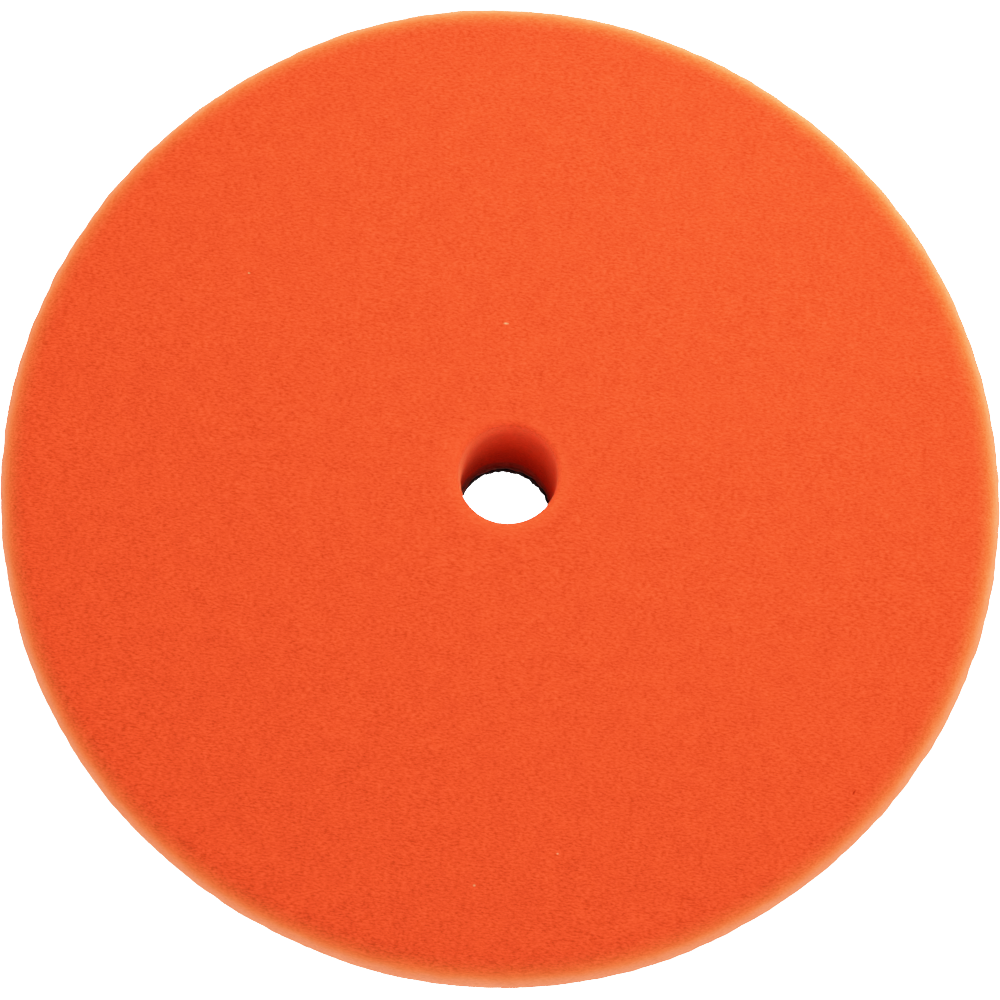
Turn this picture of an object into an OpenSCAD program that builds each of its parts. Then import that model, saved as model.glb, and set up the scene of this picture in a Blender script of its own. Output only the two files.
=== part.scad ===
// Flat foam polishing pad with a centring hole and a hook-and-loop back.
// Millimetres, +Z up. The origin is the centre of the back, where the loops touch the backing plate.

/* [Foam] */
// Widest diameter, just under the rounded edge of the polishing face
pad_d = 150; // [120:1:200]
// How far the wall leans in from the widest diameter to the foam's back, measured across
wall_taper = 1.5; // [0:0.25:8]
// Thickness of the foam
foam_h = 27.5; // [16:0.5:60]
// Radius of the rounded edge round the polishing face
face_edge_r = 4.5; // [1:0.5:7]

/* [Centring hole] */
// Diameter of the hole through every layer
hole_d = 15; // [10:0.5:40]
// Radius of the hole's soft edge at the polishing face
hole_edge_r = 1; // [0.5:0.25:5]

/* [Backing] */
// How far the backing stops short of the edge of the foam's back
backing_inset = 1; // [0:0.5:10]
// Thickness of the hot-melt glue film
film_t = 0.4; // [0.2:0.1:1]
// Thickness of the knitted ground cloth
cloth_t = 0.6; // [0.3:0.1:1.5]
// Height of the loop pile that the hooks grip
pile_h = 2; // [1:0.25:4]

/* [Hidden] */
// Round shapes are drawn with this many sides
$fn = 160;
// How far the wall's line runs inside the rounded edge, so that the two cross in one clean seam
edge_overlap = 0.01;

pad_r = pad_d / 2;
hole_r = hole_d / 2;
back_r = pad_r - wall_taper;
backing_r = back_r - backing_inset;

// Each layer starts where the one below it ends
cloth_z = pile_h;
film_z = cloth_z + cloth_t;
foam_z = film_z + film_t;

// Centres of the two rounded edges, in the foam's half section: [radius, height]
edge_mid = [pad_r - face_edge_r, foam_h - face_edge_r];
lip_mid = [hole_r + hole_edge_r, foam_h - hole_edge_r];

// The wall is a straight line from the back's edge up along the face's rounded edge
wall_foot = [back_r, 0];
to_edge = edge_mid - wall_foot;
seat_r = face_edge_r - edge_overlap;
wall_len = sqrt(to_edge * to_edge - pow(seat_r, 2));
wall_angle = atan2(to_edge.y, to_edge.x) - asin(seat_r / norm(to_edge));
wall_end = wall_foot + wall_len * [cos(wall_angle), sin(wall_angle)];

// Half section of the foam, from the hole out to the wall
module foam_section() {
    polygon([
        [hole_r, 0],
        wall_foot,
        wall_end,
        edge_mid,
        [edge_mid.x, foam_h],
        [lip_mid.x, foam_h],
        lip_mid,
        [hole_r, lip_mid.y]
    ]);
    translate(edge_mid) circle(r = face_edge_r);
    translate(lip_mid) circle(r = hole_edge_r);
}

// One flat layer of the backing, with the centring hole through it
module backing_layer(z, thickness) {
    translate([0, 0, z])
        rotate_extrude()
            translate([hole_r, 0])
                square([backing_r - hole_r, thickness]);
}

// Open-cell polyurethane foam that carries the polish
module foam_pad() {
    color("#F4582E")
        translate([0, 0, foam_z])
            rotate_extrude()
                foam_section();
}

// Hot-melt film that bonds the backing to the foam
module glue_film() {
    color("#5A2018") backing_layer(film_z, film_t);
}

// Knitted ground cloth that holds the loops
module backing_cloth() {
    color("#1E1E20") backing_layer(cloth_z, cloth_t);
}

// Loops that the hooks of a backing plate grip
module loop_pile() {
    color("#2A2A2D") backing_layer(0, pile_h);
}

foam_pad();
glue_film();
backing_cloth();
loop_pile();
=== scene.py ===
import math
import random

import bpy
import numpy as np
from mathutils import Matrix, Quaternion, Vector, noise


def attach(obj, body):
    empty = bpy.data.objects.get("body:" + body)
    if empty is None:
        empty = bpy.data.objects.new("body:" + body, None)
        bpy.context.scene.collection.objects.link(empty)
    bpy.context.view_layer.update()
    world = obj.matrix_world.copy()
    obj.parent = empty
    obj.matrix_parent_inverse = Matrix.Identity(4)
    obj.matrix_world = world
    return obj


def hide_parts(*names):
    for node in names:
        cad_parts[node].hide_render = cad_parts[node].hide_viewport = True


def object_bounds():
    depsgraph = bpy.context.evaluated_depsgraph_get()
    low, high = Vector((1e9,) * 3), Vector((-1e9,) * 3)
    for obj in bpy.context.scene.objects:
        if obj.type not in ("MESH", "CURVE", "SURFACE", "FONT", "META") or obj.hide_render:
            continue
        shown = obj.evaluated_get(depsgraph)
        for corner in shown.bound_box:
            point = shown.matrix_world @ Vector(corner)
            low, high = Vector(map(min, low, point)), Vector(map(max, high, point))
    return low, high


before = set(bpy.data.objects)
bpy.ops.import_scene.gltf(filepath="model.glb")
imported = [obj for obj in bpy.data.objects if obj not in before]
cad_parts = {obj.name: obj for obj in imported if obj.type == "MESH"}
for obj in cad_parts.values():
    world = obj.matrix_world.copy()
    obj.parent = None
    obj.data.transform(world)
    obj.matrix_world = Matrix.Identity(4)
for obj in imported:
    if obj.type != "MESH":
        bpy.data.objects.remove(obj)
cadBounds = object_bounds()

mm = 0.001
random.seed(15)


# colours are sRGB hex, shader sockets want linear
def linear(hexColour, alpha=1.0):
    values = [int(hexColour[i:i + 2], 16) / 255 for i in (1, 3, 5)]
    values = [v / 12.92 if v <= 0.04045 else ((v + 0.055) / 1.055) ** 2.4 for v in values]
    return (*values, alpha)


# one shader node: sockets given a socket are linked, the others are set
def addNode(tree, kind, inputs=None, **settings):
    node = tree.nodes.new("ShaderNode" + kind)
    for name, value in settings.items():
        setattr(node, name, value)
    for name, value in (inputs or {}).items():
        if isinstance(value, bpy.types.NodeSocket):
            tree.links.new(value, node.inputs[name])
        else:
            node.inputs[name].default_value = value
    return node


def newMaterial(name):
    material = bpy.data.materials.new(name)
    material.use_nodes = True
    tree = material.node_tree
    tree.nodes.clear()
    return material, tree


# the piece's own coordinates, in millimetres
def placeInMm(tree):
    coords = addNode(tree, "TexCoord").outputs["Object"]
    return addNode(tree, "Mapping", {"Vector": coords, "Scale": (1 / mm, 1 / mm, 1 / mm)}).outputs[0]


# smooth noise, about -1 to 1, with lumps of the given size; points and size in millimetres
def lumps(points, size, seed):
    shift = Vector((seed * 13.7, seed * -7.9, seed * 5.3))
    if np.ndim(size) == 0:
        size = (size, size, size)
    scaled = points / np.array(size)
    return np.array([noise.noise(Vector(p) + shift) for p in scaled]) * 2


def smoothStep(low, high, x):
    t = np.clip((x - low) / (high - low), 0, 1)
    return t * t * (3 - 2 * t)


# points on a straight line of the half section, without its last point
def straight(start, end, step):
    count = max(1, round(math.dist(start, end) / step))
    t = np.arange(count)[:, None] / count
    return [tuple(p) for p in np.array(start) * (1 - t) + np.array(end) * t]


# points on a round stretch of the half section, without its last point
def rounded(centre, radius, start, end, count):
    angles = np.radians(np.linspace(start, end, count, endpoint=False))
    return [(centre[0] + radius * math.cos(a), centre[1] + radius * math.sin(a)) for a in angles]


# turns a closed half section round Z
# a ring has more points the wider it is, so that faces stay alike in size
def turned(section, spacing, fewest):
    counts = []
    for radius, _ in section:
        count = fewest
        while 2 * math.pi * radius / count > spacing:
            count *= 2
        counts.append(count)
    points, starts = [], []
    for (radius, height), count in zip(section, counts):
        starts.append(len(points))
        angles = np.arange(count) * 2 * math.pi / count
        points += [(radius * math.cos(a), radius * math.sin(a), height) for a in angles]
    faces = []
    for k in range(len(section)):
        nxt = (k + 1) % len(section)
        a, b, n, m = starts[k], starts[nxt], counts[k], counts[nxt]
        if n == m:
            faces += [(a + i, a + (i + 1) % n, b + (i + 1) % n, b + i) for i in range(n)]
        elif m == 2 * n:  # the next ring is wider, three triangles reach over each of this ring's edges
            for i in range(n):
                j, far = (i + 1) % n, (2 * i + 2) % m
                faces.append((a + i, b + 2 * i + 1, b + 2 * i))
                faces.append((a + i, a + j, b + 2 * i + 1))
                faces.append((a + j, b + far, b + 2 * i + 1))
        else:  # the next ring is narrower
            for i in range(m):
                j, far = (i + 1) % m, (2 * i + 2) % n
                faces.append((b + i, a + 2 * i, a + 2 * i + 1))
                faces.append((b + i, a + 2 * i + 1, b + j))
                faces.append((b + j, a + 2 * i + 1, a + far))
    return np.array(points), faces


# the faces turned to look outward, and the direction each point looks in
def lookingOut(points, faces):
    mesh = bpy.data.meshes.new("normals")
    mesh.from_pydata(points.tolist(), [], faces)
    found = np.zeros(len(points) * 3, np.float32)
    mesh.vertex_normals.foreach_get("vector", found)
    bpy.data.meshes.remove(mesh)
    normals = found.reshape(-1, 3)
    if normals[np.argmax(points[:, 2])][2] < 0:
        return [face[::-1] for face in faces], -normals
    return faces, normals


# a named piece from points in millimetres; each mark is a value at every point for the material to read
def makePiece(name, points, faces, material, marks=None):
    mesh = bpy.data.meshes.new(name)
    mesh.from_pydata((points * mm).tolist(), [], faces)
    mesh.polygons.foreach_set("use_smooth", [True] * len(mesh.polygons))
    mesh.materials.append(material)
    for mark, values in (marks or {}).items():
        layer = mesh.attributes.new(mark, "FLOAT", "POINT")
        layer.data.foreach_set("value", values.astype(np.float32))
    piece = bpy.data.objects.new(name, mesh)
    bpy.context.scene.collection.objects.link(piece)
    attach(piece, "root")
    return piece


# radii and heights of a CAD layer, in millimetres
def layerSizes(node):
    places = np.array([v.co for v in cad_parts[node].data.vertices]) / mm
    radii = np.hypot(places[:, 0], places[:, 1])
    foot = radii[places[:, 2] < places[:, 2].min() + 0.05]
    top = radii[places[:, 2] > places[:, 2].max() - 0.001]
    return {
        "hole": radii.min(),
        "outer": radii.max(),
        "footOuter": foot.max(),
        "flatInner": top.min(),
        "flatOuter": top.max(),
        "low": places[:, 2].min(),
        "high": places[:, 2].max(),
    }


# the holes were punched a little off centre, in mm; the shift dies away over the face
punch = {"foam": (0.78, 0.7), "backing": (0.92, 0.48), "holdsTo": 12, "goneAt": 45}


def punched(points, layer):
    radii = np.hypot(points[:, 0], points[:, 1])
    share = 1 - smoothStep(punch["holdsTo"], punch["goneAt"], radii)
    return points + np.outer(share, (*punch[layer], 0))


# polyurethane foam, open cell: sliced flat, edge ground round. Cut cell walls scatter light, so it looks
# dead matt and deep orange face on. Where the ground edge turns away its colour is drawn paler: partly the
# cut edge's own tint, partly a painted sheen and painted light
foamPad = {
    "colour": "#FF4C27",
    # the warm and pale edge colours are the ground edge's tint together with a painted sheen and painted
    # light where the edge turns away
    "warmEdgeSheenColour": "#FF763C",
    "paleEdgeSheenColour": "#FF9069",
    "gluedColour": "#D05848",
    "pitShade": "#BCBC96",  # painted shade: what is left of the colour down in the cut cells, where shade falls
    "mottle": 0.08,  # how much lighter and darker patches of cells are
    "patch": 2.6,  # mm
    "cell": (0.68, 0.24),  # mm along X, the way the foam rose, and across; drawn coarser than it is, to show
    "cellDepth": 0.12,  # mm
    "cellStrength": 0.5,
    "closedShow": 0.4,  # how much of the cells still shows where grinding closed them; at the top of the bore the same fading of the cells' painted pit shade is painted light
    "wallOpens": (0.7, 10),  # share of the wall's cells that are open again, and over how many mm
    "meshSpacing": 0.71,  # mm on the face
    "boreSpacing": 0.5,  # mm
    "ringPoints": 120,
    "outOfRound": [(2, 0.07, -40), (3, 0.12, -17), (4, 0.14, 7), (6, 0.08, -18)],  # lobes, mm, degrees
    "faceWave": 0.04,  # mm
    "edgeRoughness": 0.08,  # mm
    "groundZone": 12,  # mm in from the widest place, where the face starts to be ground
    "wallShare": 0.5,  # how pale the wall's foot is, next to the ground edge
    "wallFades": (-1, 12),  # mm below the ground edge
    "paleFall": (1.9, 0.5),  # power that the pale band falls with, and how much that grows or shrinks round the pad, as painted light that is stronger on the better lit side
    "leastLitSide": -115,  # degrees, the side where the ground edge's pale band is narrowest, as painted light: less light falls there
    "paleLumps": 0.06,  # how unevenly the pale band was ground; the band is partly painted sheen
    "paleLumpSize": (3, 3, 1.4),  # mm
    "lipWear": {"depth": 0.6, "width": 1.8, "reach": 6, "towards": 142},  # mm, and degrees
    "lipSwell": {"by": 0.55, "at": 4.5, "goneAt": 24},  # mm, on the same side, down the bore
    "lipHighlight": 0.05,  # painted highlight: how pale the unworn side of the lip is drawn, next to the ground edge, as if light caught it
    "gluedDepth": (3.4, 1.4),  # mm of cells above the film that soaked up glue, in the bore and outside
    # painted light: the bore's wall is drawn lighter near the face and fades out down the bore
    "boreLitColour": "#FF6139",
    "boreGlow": 1.0,  # how much light comes through the foam into the bore
    "boreLightFades": (10, 30),  # mm below the face, where the bore's painted light fades out
    "lightReach": 8,  # mm
    "flecks": [  # place in mm, length, width, turn in degrees, colour
        (56.9, -40.1, 0.75, 0.3, 62, "#B02A08"),
        (-2.45, 23.6, 0.8, 0.26, 3, "#FFA478"),
        (-41.9, 26.2, 0.35, 0.25, 0, "#FFA070"),
        (3.6, -60.7, 0.4, 0.35, 0, "#FF9068"),
        (15.0, -54.6, 0.3, 0.25, 0, "#FF9068"),
    ],
}


# the foam's colour under its cells: each mark on the mesh brings in the colour named beside it. The edge
# marks bring in the ground edge's tint together with a painted sheen, and the bore mark paints the upper
# bore lighter, as painted light
def foamColour(tree, look, inMm):
    edge = addNode(tree, "Attribute", attribute_name="groundEdgeAndSheen").outputs["Fac"]
    bare = addNode(tree, "Attribute", attribute_name="bareEdgeAndSheen").outputs["Fac"]
    paintedBoreLight = addNode(tree, "Attribute", attribute_name="paintedBoreLight").outputs["Fac"]
    glued = addNode(tree, "Attribute", attribute_name="glued").outputs["Fac"]
    colour = linear(look["colour"])
    places = [
        (edge, "warmEdgeSheenColour"),
        (bare, "paleEdgeSheenColour"),
        (paintedBoreLight, "boreLitColour"),
        (glued, "gluedColour"),
    ]
    for mark, added in places:
        mixed = addNode(tree, "MixRGB", {"Fac": mark, "Color1": colour, "Color2": linear(look[added])})
        colour = mixed.outputs[0]
    for x, y, length, width, turn, fleckColour in look["flecks"]:
        place = addNode(
            tree,
            "Mapping",
            {
                "Vector": inMm,
                "Location": (x, y, cadBounds[1].z / mm),
                "Rotation": (0, 0, math.radians(turn)),
                "Scale": (length / 2, width / 2, 1),
            },
            vector_type="TEXTURE",
        )
        away = addNode(tree, "VectorMath", {0: place.outputs[0]}, operation="LENGTH")
        inside = addNode(
            tree,
            "MapRange",
            {"Value": away.outputs["Value"], "From Min": 0.6, "From Max": 1.3, "To Min": 1.0, "To Max": 0.0},
        )
        mixed = addNode(
            tree,
            "MixRGB",
            {"Fac": inside.outputs[0], "Color1": colour, "Color2": linear(fleckColour)},
        )
        colour = mixed.outputs[0]
    return colour, paintedBoreLight


def foamMaterial(look):
    material, tree = newMaterial("polyurethane foam, sliced and ground")
    inMm = placeInMm(tree)
    along, across = look["cell"]
    inCells = addNode(tree, "Mapping", {"Vector": inMm, "Scale": (1 / along, 1 / across, 1 / across)})
    cells = addNode(
        tree, "TexNoise", {"Vector": inCells.outputs[0], "Scale": 1.0, "Detail": 2.0, "Roughness": 0.75}
    )
    patches = addNode(
        tree, "TexNoise", {"Vector": inMm, "Scale": 1 / look["patch"], "Detail": 2.0, "Roughness": 0.6}
    )
    grain = addNode(
        tree, "MapRange", {"Value": cells.outputs["Fac"], "From Min": 0.33, "From Max": 0.67}
    )
    # painted shade in the cells' pits: the colour is drawn darker where the grain is low
    paintedPitShade = addNode(
        tree,
        "MixRGB",
        {"Fac": grain.outputs[0], "Color1": linear(look["pitShade"]), "Color2": (1, 1, 1, 1)},
    )
    mottle = addNode(
        tree,
        "MapRange",
        {
            "Value": patches.outputs["Fac"],
            "From Min": 0.25,
            "From Max": 0.75,
            "To Min": 1 - 2 * look["mottle"],
            "To Max": 1.0,
        },
    )
    colour, paintedBoreLight = foamColour(tree, look, inMm)
    # closed cells lose their painted pit shade and mottle; in the bore this follows the painted bore light,
    # drawing the upper wall lighter
    closed = addNode(tree, "Attribute", attribute_name="closedCellsAndBoreLight").outputs["Fac"]
    openCells = addNode(
        tree, "MapRange", {"Value": closed, "To Min": 1.0, "To Max": look["closedShow"]}
    ).outputs[0]
    for shade in (paintedPitShade, mottle):
        mixed = addNode(
            tree,
            "MixRGB",
            {"Fac": openCells, "Color1": colour, "Color2": shade.outputs[0]},
            blend_type="MULTIPLY",
        )
        colour = mixed.outputs[0]
    strength = addNode(tree, "Math", {0: openCells, 1: look["cellStrength"]}, operation="MULTIPLY")
    bump = addNode(
        tree,
        "Bump",
        {
            "Height": cells.outputs["Fac"],
            "Strength": strength.outputs[0],
            "Distance": look["cellDepth"] * mm,
        },
    )
    glow = addNode(tree, "Math", {0: paintedBoreLight, 1: look["boreGlow"]}, operation="MULTIPLY")
    shader = addNode(
        tree,
        "BsdfPrincipled",
        {
            "Base Color": colour,
            "Roughness": 0.95,
            "IOR": 1.4,
            "Specular IOR Level": 0.05,
            "Normal": bump.outputs[0],
            "Subsurface Weight": glow.outputs[0],
            "Subsurface Radius": (1.0, 0.3, 0.2),
            "Subsurface Scale": look["lightReach"] * mm,
        },
    )
    addNode(tree, "OutputMaterial", {"Surface": shader.outputs[0]})
    return material


# half section of the foam: up the bore, over the face and the ground edge, down the wall and back
def foamSection(look, sizes, edge, lip):
    hole, outer, foot = sizes["hole"], sizes["outer"], sizes["footOuter"]
    low, high = sizes["low"], sizes["high"]
    edgeMid, lipMid = (outer - edge, high - edge), (hole + lip, high - lip)
    # the wall leans in to the back and touches the ground edge without a corner
    reach = math.dist(edgeMid, (foot, low))
    lean = math.atan2(edgeMid[1] - low, edgeMid[0] - foot) - math.asin(edge / reach)
    wallTop = (
        foot + math.sqrt(reach**2 - edge**2) * math.cos(lean),
        low + math.sqrt(reach**2 - edge**2) * math.sin(lean),
    )
    step = look["meshSpacing"]
    return (
        straight((hole, low), (hole, high - lip), look["boreSpacing"])
        + rounded(lipMid, lip, 180, 90, 7)
        + straight((hole + lip, high), (outer - edge, high), step * 1.1)
        + rounded(edgeMid, edge, 90, math.degrees(lean) - 90, 15)
        + straight(wallTop, (foot, low), step * 1.3)
        + straight((foot, low), (hole, low), 4)
    )


def buildFoam(look):
    sizes = layerSizes("foam_pad")
    hole, outer, low, high = sizes["hole"], sizes["outer"], sizes["low"], sizes["high"]
    edge, lip = outer - sizes["flatOuter"], sizes["flatInner"] - hole
    section = foamSection(look, sizes, edge, lip)
    points, faces = turned(section, look["meshSpacing"], look["ringPoints"])
    faces, normals = lookingOut(points, faces)

    # where each point lies on the clean shape
    radii = np.hypot(points[:, 0], points[:, 1])
    angles = np.arctan2(points[:, 1], points[:, 0])
    heights = points[:, 2].copy()
    tilt = 1 - np.abs(normals[:, 2])
    below = high - heights
    belowEdge = high - edge - heights
    ground = smoothStep(outer - look["groundZone"], outer - edge, radii)
    free = smoothStep(low, low + 1, heights)  # the back stays flat on its glue
    wear = look["lipWear"]
    worn = 0.5 + 0.5 * np.cos(angles - math.radians(wear["towards"]))

    # faint waves all over, and a rougher, not quite round ground edge
    rough = look["edgeRoughness"] * (0.8 * lumps(points, 2.4, 1) + 0.4 * lumps(points, 1.3, 2)) * ground
    wave = look["faceWave"] * (lumps(points, 14, 3) + 0.4 * lumps(points, 4, 4))
    points = points + normals * ((rough * smoothStep(0.1, 0.9, tilt) + wave) * free)[:, None]
    lobes = sum(
        size * np.cos(count * (angles - math.radians(towards)))
        for count, size, towards in look["outOfRound"]
    )
    grow = 1 + lobes * ground / outer
    points[:, 0] *= grow
    points[:, 1] *= grow

    # one side of the hole's lip is worn down, and swells into the bore below it
    sunk = wear["depth"] * worn * np.exp(-(((radii - hole) / wear["width"]) ** 2))
    points[:, 2] -= sunk * smoothStep(high - wear["reach"], high, heights)
    swell = look["lipSwell"]
    inward = swell["by"] * worn * smoothStep(0, swell["at"], below) * (radii < hole + lip)
    inward *= 1 - smoothStep(swell["at"], swell["goneAt"], below)
    points[:, 0] -= inward * np.cos(angles)
    points[:, 1] -= inward * np.sin(angles)
    points = punched(points, "foam")

    # how pale, partly the ground edge's own tint and partly painted sheen and light: most where the surface
    # stands upright, less down the wall, narrowest on the less lit side, and a painted highlight on the
    # unworn lip
    towards = np.cos(angles - math.radians(look["leastLitSide"]))
    upright = np.sin(np.arccos(np.clip(np.abs(normals[:, 2]), 0, 1)))
    power, change = look["paleFall"]
    paleAndSheen = upright ** (power + change * towards) * ground
    paleAndSheen *= 1 - (1 - look["wallShare"]) * smoothStep(*look["wallFades"], belowEdge)
    paleAndSheen = np.clip(paleAndSheen * (1 + look["paleLumps"] * lumps(points, look["paleLumpSize"], 7)), 0, 1)
    # painted highlight on the unworn side of the hole's lip
    onLip = np.exp(-(((radii - hole - 0.8) / 0.9) ** 2)) * (heights > high - lip)
    paleAndSheen += look["lipHighlight"] * (1 - worn) * onLip

    inBore, outside = look["gluedDepth"]
    gluedTop = low + np.where(radii < 2 * hole, inBore, outside)
    glued = 1 - smoothStep(gluedTop - outside, gluedTop, heights + 0.3 * lumps(points, 1.5, 6))
    # painted light: the bore's wall drawn lighter near the face, fading out further down
    paintedBoreLight = 1 - smoothStep(hole + 0.1, hole + lip, radii)
    paintedBoreLight *= smoothStep(0.1, 1.5, below) * (1 - smoothStep(*look["boreLightFades"], below))
    nearLip = 1 - smoothStep(hole + lip, hole + lip + 2, radii)
    opens, within = look["wallOpens"]
    onEdge = smoothStep(0.02, 0.4, tilt) * ground * (1 - opens * smoothStep(0, within, belowEdge))
    marks = {
        # the two edge marks carry the ground edge's tint and a painted sheen; the bare edge is also painted
        # lighter on the better lit side
        "groundEdgeAndSheen": np.clip(1.6 * paleAndSheen, 0, 1),
        "bareEdgeAndSheen": smoothStep(0.35, 1, paleAndSheen) * (0.91 + 0.09 * towards),
        "glued": glued,
        # the ground edge's closed cells, and in the bore the painted bore light
        "closedCellsAndBoreLight": np.maximum(onEdge, np.maximum(0.9 * paintedBoreLight, 0.4 * nearLip * (below < 3))),
        "paintedBoreLight": paintedBoreLight,
    }
    piece = makePiece("foamPad", points, faces, foamMaterial(look), marks)
    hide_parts("foam_pad")


buildFoam(foamPad)
print("foam pad made")


# polyamide hot-melt film, melted between the layers: amber brown, a little glossy where it squeezed out
glueFilm = {
    "dark": "#5A2418",
    "light": "#9A4834",
    "flow": 1.2,  # mm
    "flowDepth": 0.1,  # mm
    "flowStrength": 0.5,
    "squeezeOut": 0.12,  # mm
    "spacing": 1.2,  # mm
}


def glueMaterial(look):
    material, tree = newMaterial("hot-melt film, fused")
    flow = addNode(tree, "TexNoise", {"Vector": placeInMm(tree), "Scale": 1 / look["flow"], "Detail": 4.0})
    colour = addNode(
        tree,
        "MixRGB",
        {"Fac": flow.outputs["Fac"], "Color1": linear(look["dark"]), "Color2": linear(look["light"])},
    )
    bump = addNode(
        tree,
        "Bump",
        {
            "Height": flow.outputs["Fac"],
            "Strength": look["flowStrength"],
            "Distance": look["flowDepth"] * mm,
        },
    )
    shader = addNode(
        tree,
        "BsdfPrincipled",
        {"Base Color": colour.outputs[0], "Roughness": 0.5, "IOR": 1.5, "Normal": bump.outputs[0]},
    )
    addNode(tree, "OutputMaterial", {"Surface": shader.outputs[0]})
    return material


# a flat ring of the backing, whose cut edges wander in and out by edgeWave, in mm
def flatLayer(sizes, spacing, edgeWave, seed):
    hole, outer, low, high = sizes["hole"], sizes["outer"], sizes["low"], sizes["high"]
    middle = (low + high) / 2
    section = (
        [(hole, low), (hole, middle)]
        + straight((hole, high), (outer, high), spacing)
        + [(outer, high), (outer, middle)]
        + straight((outer, low), (hole, low), spacing)
    )
    points, faces = turned(section, spacing, 96)
    faces, _ = lookingOut(points, faces)
    radii = np.hypot(points[:, 0], points[:, 1])
    nearEdge = np.exp(-(radii - hole) / 0.5) - np.exp(-(outer - radii) / 0.5)
    shift = edgeWave * nearEdge * lumps(points * [1, 1, 0.5], 1.6, seed) / radii
    points[:, 0] *= 1 + shift
    points[:, 1] *= 1 + shift
    return points, faces


def buildFilm(look):
    points, faces = flatLayer(layerSizes("glue_film"), look["spacing"], look["squeezeOut"], 21)
    piece = makePiece("glueFilm", punched(points, "backing"), faces, glueMaterial(look))
    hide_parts("glue_film")


buildFilm(glueFilm)
print("glue film made")


# polyamide warp knit, dyed black: dull, with the rows of stitches just visible
backingCloth = {
    "dark": "#0C0C0D",
    "light": "#242427",
    "gluedColour": "#A84434",
    "stitch": 1.0,  # mm
    "yarn": 0.2,  # mm, drawn coarser than its filaments are, to show
    "yarnDepth": 0.2,  # mm
    "fray": 0.15,  # mm
    "spacing": 1.0,  # mm
}


# used for the cloth and for the pile; mixedIn is the colour where the mark mixIn is 1: real glue on the
# cloth, a painted highlight on the pile's loops
def knitMaterial(name, look, mixedIn):
    material, tree = newMaterial(name)
    inMm = placeInMm(tree)
    rows = addNode(tree, "TexWave", {"Vector": inMm, "Scale": 0.3 / look["stitch"], "Distortion": 1.5})
    yarn = addNode(tree, "TexNoise", {"Vector": inMm, "Scale": 1 / look["yarn"], "Detail": 3.0})
    mixed = addNode(
        tree, "MixRGB", {"Fac": 0.5, "Color1": rows.outputs["Fac"], "Color2": yarn.outputs["Fac"]}
    )
    colour = addNode(
        tree,
        "MixRGB",
        {"Fac": mixed.outputs[0], "Color1": linear(look["dark"]), "Color2": linear(look["light"])},
    )
    where = addNode(tree, "Attribute", attribute_name="mixIn").outputs["Fac"]
    colour = addNode(
        tree,
        "MixRGB",
        {"Fac": where, "Color1": colour.outputs[0], "Color2": linear(look[mixedIn])},
    )
    bump = addNode(
        tree, "Bump", {"Height": mixed.outputs[0], "Strength": 0.8, "Distance": look["yarnDepth"] * mm}
    )
    shader = addNode(
        tree,
        "BsdfPrincipled",
        {
            "Base Color": colour.outputs[0],
            "Roughness": 0.85,
            "IOR": 1.5,
            "Specular IOR Level": 0.3,
            "Sheen Weight": 0.15,
            "Sheen Roughness": 0.5,
            "Normal": bump.outputs[0],
        },
    )
    addNode(tree, "OutputMaterial", {"Surface": shader.outputs[0]})
    return material


def buildCloth(look):
    sizes = layerSizes("backing_cloth")
    points, faces = flatLayer(sizes, look["spacing"], look["fray"], 31)
    material = knitMaterial("polyamide warp knit, dyed", look, "gluedColour")
    # glue ran down the cloth's cut edge in the bore
    inBore = np.hypot(points[:, 0], points[:, 1]) < sizes["hole"] + 0.4
    soaked = inBore * (points[:, 2] > sizes["low"] + 0.1)
    piece = makePiece("backingCloth", punched(points, "backing"), faces, material, {"mixIn": soaked})
    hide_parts("backing_cloth")


buildCloth(backingCloth)
print("backing cloth made")


# polyamide loop pile, brushed: soft and black, each loop a thread bundle that catches a little light, drawn
# as a painted highlight in a lighter grey than the bed
loopPile = {
    "dark": "#08080A",
    "light": "#1C1C1F",
    # painted highlight: the loops drawn lighter grey than the bed of the same black yarn
    "litLoopColour": "#47474D",
    "stitch": 1.2,  # mm
    "yarn": 0.2,  # mm, drawn coarser than its filaments are, to show
    "yarnDepth": 0.2,  # mm
    "thread": 0.24,  # mm, a bundle of filaments
    "rowGap": 1.7,  # mm between rows of loops
    "loopGap": 1.9,  # mm along a row
    "width": (0.9, 1.5),  # mm across a loop's feet
    "height": (0.75, 1.0),  # shares of the way down to the table
    "lean": 0.4,  # mm, brushing lays the loops over each way
    "twist": 0.7,  # radians, how far loops turn out of line
    "astray": (0.25, 0.3),  # shares of a gap that a loop may stand off, across the rows and along them
    "rooted": 0.3,  # mm that the feet reach into the bed
    "edgeFree": 1.2,  # mm beside the cut edges without loops
    "loopSteps": 5,
    "bedDepth": 1.0,  # mm of matted loops against the cloth
    "bedSpacing": 1.6,  # mm
    "cutGap": 0.2,  # mm, the cut edges are matted nearly down to the table
    "cutSpacing": 0.35,  # mm
    "ragged": 0.2,  # mm
}


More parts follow.
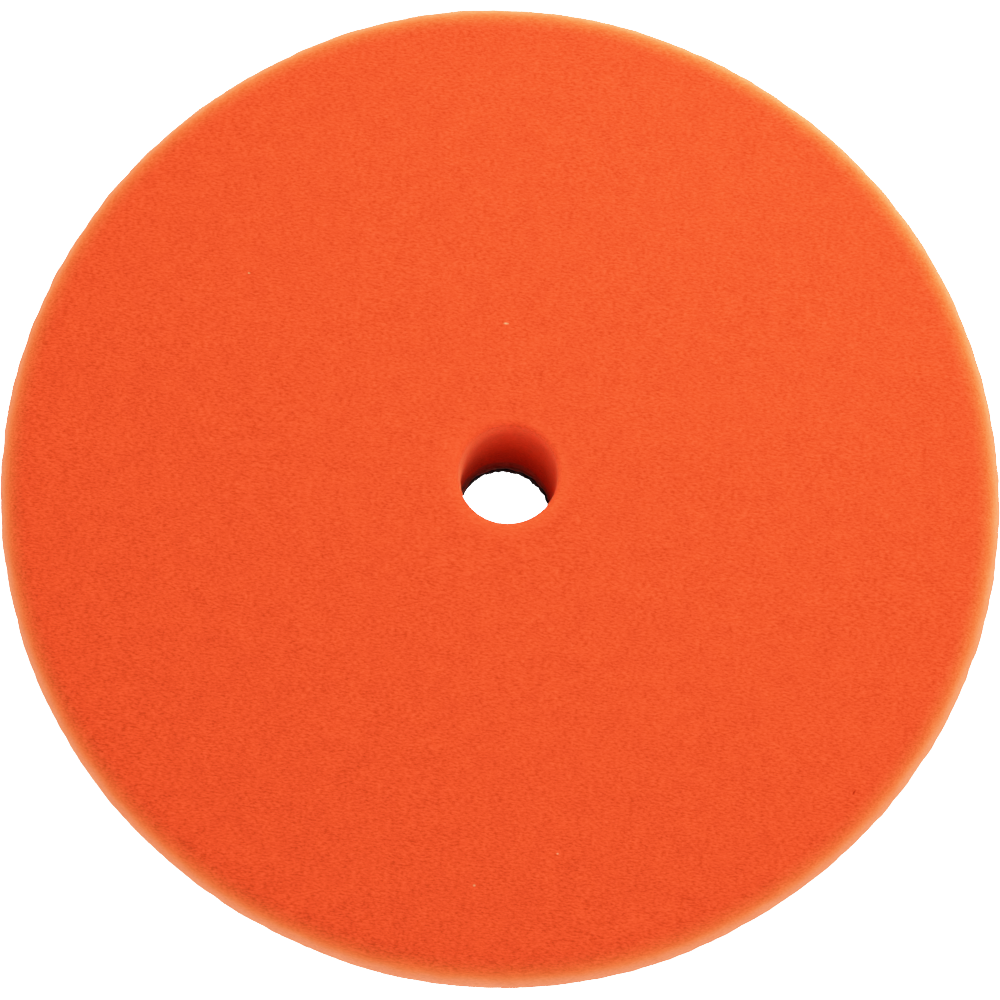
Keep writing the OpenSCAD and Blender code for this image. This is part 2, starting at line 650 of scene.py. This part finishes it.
# the matted bed that the loops stand on, hanging from the cloth
def pileBed(look, sizes):
    hole, outer, low, high = sizes["hole"], sizes["outer"], sizes["low"], sizes["high"]
    bedLow = high - look["bedDepth"]
    cutLow = low + look["cutGap"]
    section = (
        straight((hole, cutLow), (hole, high), look["cutSpacing"])
        + straight((hole, high), (outer, high), 5)
        + straight((outer, high), (outer, cutLow), look["cutSpacing"])
        + [(outer, cutLow), (outer - 0.5, cutLow)]
        + straight((outer - 1.6, bedLow), (hole + 1.6, bedLow), look["bedSpacing"])
        + [(hole + 1.6, bedLow), (hole + 0.5, cutLow)]
    )
    points, faces = turned(section, 1.2, 192)
    faces, normals = lookingOut(points, faces)
    free = 1 - smoothStep(high - 0.5, high, points[:, 2])
    radii = np.hypot(points[:, 0], points[:, 1])
    cut = np.maximum(radii < hole + 0.3, radii > outer - 0.3)
    tuft = look["ragged"] * (1 + 0.3 * lumps(points, 3, 41) + 0.8 * lumps(points, 0.55, 42) * cut)
    return points + normals * (tuft * free)[:, None], faces


# points along one loop of thread, from foot to foot by way of its tip near the table
def loopPath(look, x, y, turn, width, depth, lean, top):
    path = []
    for k in range(look["loopSteps"] + 1):
        a = math.pi * k / look["loopSteps"]
        swing = width * math.cos(a) * (1 + 0.5 * math.sin(a))
        drop = math.sin(a) * depth
        across = x + swing * math.cos(turn) + lean[0] * drop
        along = y + swing * math.sin(turn) + lean[1] * drop
        path.append(Vector((across, along, top - drop * (top - look["thread"] / 2))))
    return path


# a three-sided thread along a path, capped at both ends
def addThread(path, turn, thickness, points, faces, start):
    base = start + len(points)
    last = len(path) - 1
    side = Vector((-math.sin(turn), math.cos(turn), 0))
    for k, place in enumerate(path):
        ahead = (path[min(k + 1, last)] - path[max(k - 1, 0)]).normalized()
        other = ahead.cross(side).normalized()
        for corner in range(3):
            a = 2 * math.pi * corner / 3
            points.append(place + (side * math.cos(a) + other * math.sin(a)) * thickness / 2)
    for k in range(last):
        for corner in range(3):
            a, b = base + 3 * k + corner, base + 3 * k + (corner + 1) % 3
            faces.append((a, b, b + 3, a + 3))
    end = base + 3 * last
    faces.append((base + 2, base + 1, base))
    faces.append((end, end + 1, end + 2))


def buildPile(look):
    sizes = layerSizes("loop_pile")
    hole, outer, low = sizes["hole"], sizes["outer"], sizes["low"]
    bedPoints, faces = pileBed(look, sizes)
    loopTop = sizes["high"] - look["bedDepth"] + look["rooted"]
    offRow, offStitch = look["astray"]
    rows = int(outer / look["rowGap"])
    stitches = int(outer / look["loopGap"])
    loopPoints, loopFaces, count = [], [], 0
    for row in range(-rows, rows + 1):
        for stitch in range(-stitches, stitches + 1):
            x = (row + random.uniform(-offRow, offRow)) * look["rowGap"]
            y = (stitch + 0.5 * (row % 2) + random.uniform(-offStitch, offStitch)) * look["loopGap"]
            turn = math.pi / 2 + random.gauss(0, look["twist"])
            width = random.uniform(*look["width"]) / 2
            depth = random.uniform(*look["height"])
            lean = (random.gauss(0, look["lean"]), random.gauss(0, look["lean"]))
            if hole + look["edgeFree"] < math.hypot(x, y) < outer - look["edgeFree"]:
                path = loopPath(look, x, y, turn, width, depth, lean, loopTop)
                addThread(path, turn, look["thread"], loopPoints, loopFaces, len(bedPoints))
                count += 1
    print(f"{count} loops")
    points = np.vstack([bedPoints, np.array([tuple(p) for p in loopPoints])])
    points[:, 2] = np.maximum(points[:, 2], low)
    # the loops take the painted highlight colour
    isLoop = np.arange(len(points)) >= len(bedPoints)
    material = knitMaterial("polyamide loop pile, brushed", look, "litLoopColour")
    piece = makePiece(
        "loopPile", punched(points, "backing"), faces + loopFaces, material, {"mixIn": isLoop}
    )
    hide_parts("loop_pile")


buildPile(loopPile)
print("loop pile made")


# opal acrylic table top, lit from inside, so that no shadow shows round the pad
table = {"size": 4.0, "colour": "#F4F4F4", "glow": 10.0, "gap": 0.05}  # size in metres, gap in mm


def buildTable(look):
    material, tree = newMaterial("opal acrylic, lit")
    seen = addNode(tree, "LightPath").outputs["Is Camera Ray"]
    plain = addNode(tree, "BsdfDiffuse", {"Color": linear(look["colour"])})
    glow = addNode(tree, "Emission", {"Color": (1, 1, 1, 1), "Strength": look["glow"]})
    both = addNode(tree, "AddShader", {0: plain.outputs[0], 1: glow.outputs[0]})
    shown = addNode(tree, "MixShader", {0: seen, 1: plain.outputs[0], 2: both.outputs[0]})
    addNode(tree, "OutputMaterial", {"Surface": shown.outputs[0]})
    half = look["size"] / 2
    mesh = bpy.data.meshes.new("table")
    corners = [(-half, -half, 0), (half, -half, 0), (half, half, 0), (-half, half, 0)]
    mesh.from_pydata(corners, [], [(0, 1, 2, 3)])
    mesh.materials.append(material)
    piece = bpy.data.objects.new("table", mesh)
    piece.location.z = cadBounds[0].z - look["gap"] * mm
    bpy.context.scene.collection.objects.link(piece)


buildTable(table)


# a white room, brightest low down all round the pad, and one soft lamp above its far edge
studio = {
    "overhead": 0.6,
    "horizon": 5.5,
    "bandTop": 0.35,  # sine of the height where the bright band ends
    "lampPlace": (0.059, 0.107, 0.208),  # metres
    "lampSize": 0.3,  # metres
    "lampPower": 0.915,  # watts
    # what the camera makes of the light, up to its white: orange keeps its grain where it is bright
    "shoulder": [
        (0, 0), (0.3, 0.3), (0.7, 0.63), (1.1, 0.855), (1.45, 0.93), (2, 0.965), (3, 0.98), (6, 1),
    ],
}


def buildRoom(look):
    world = bpy.data.worlds.new("white room")
    world.use_nodes = True
    tree = world.node_tree
    tree.nodes.clear()
    direction = addNode(tree, "TexCoord").outputs["Generated"]
    upward = addNode(tree, "SeparateXYZ", {"Vector": direction}).outputs["Z"]
    strength = addNode(
        tree,
        "MapRange",
        {
            "Value": upward,
            "From Max": look["bandTop"],
            "To Min": look["horizon"],
            "To Max": look["overhead"],
        },
        interpolation_type="SMOOTHSTEP",
    )
    room = addNode(tree, "Background", {"Color": (1, 1, 1, 1), "Strength": strength.outputs[0]})
    addNode(tree, "OutputWorld", {"Surface": room.outputs[0]})
    bpy.context.scene.world = world


def buildLamp(look):
    lamp = bpy.data.lights.new("lamp", "AREA")
    lamp.shape = "DISK"
    lamp.size = look["lampSize"]
    lamp.energy = look["lampPower"]
    holder = bpy.data.objects.new("lamp", lamp)
    holder.location = look["lampPlace"]
    holder.rotation_euler = (-Vector(look["lampPlace"])).to_track_quat("-Z", "Y").to_euler()
    holder.visible_camera = False  # only its light shows
    bpy.context.scene.collection.objects.link(holder)


def setView(look):
    view = bpy.context.scene.view_settings
    view.view_transform = "Standard"
    view.use_curve_mapping = True
    white = look["shoulder"][-1][0]
    view.curve_mapping.white_level = (white, white, white)
    combined = view.curve_mapping.curves[3]
    for light, shown in look["shoulder"][1:-1]:
        combined.points.new(light / white, shown)
    view.curve_mapping.update()


buildRoom(studio)
buildLamp(studio)
setView(studio)

# looks down on the pad from a little in front of it, held slightly turned
camera = {
    "distance": 6.51,  # pad radii
    "elevation": 77.72,  # degrees
    "roll": 7.49,  # degrees
    "aim": (0.001, 0.044),  # pad radii
    "lens": 110.8,  # mm
}


def buildCamera(look):
    radius = (cadBounds[1].x - cadBounds[0].x) / 2
    angle = math.radians(look["elevation"])
    place = Vector((0, -math.cos(angle), math.sin(angle))) * look["distance"] * radius
    aim = Vector((look["aim"][0] * radius, look["aim"][1] * radius, 0))
    data = bpy.data.cameras.new("camera")
    data.lens = look["lens"]
    data.sensor_width = 36
    data.clip_start, data.clip_end = 0.01, 20
    holder = bpy.data.objects.new("camera", data)
    holder.location = place
    turn = (aim - place).to_track_quat("-Z", "Y")
    holder.rotation_mode = "QUATERNION"
    holder.rotation_quaternion = turn @ Quaternion((0, 0, 1), math.radians(look["roll"]))
    bpy.context.scene.collection.objects.link(holder)
    bpy.context.scene.camera = holder


buildCamera(camera)
print("studio and camera set")
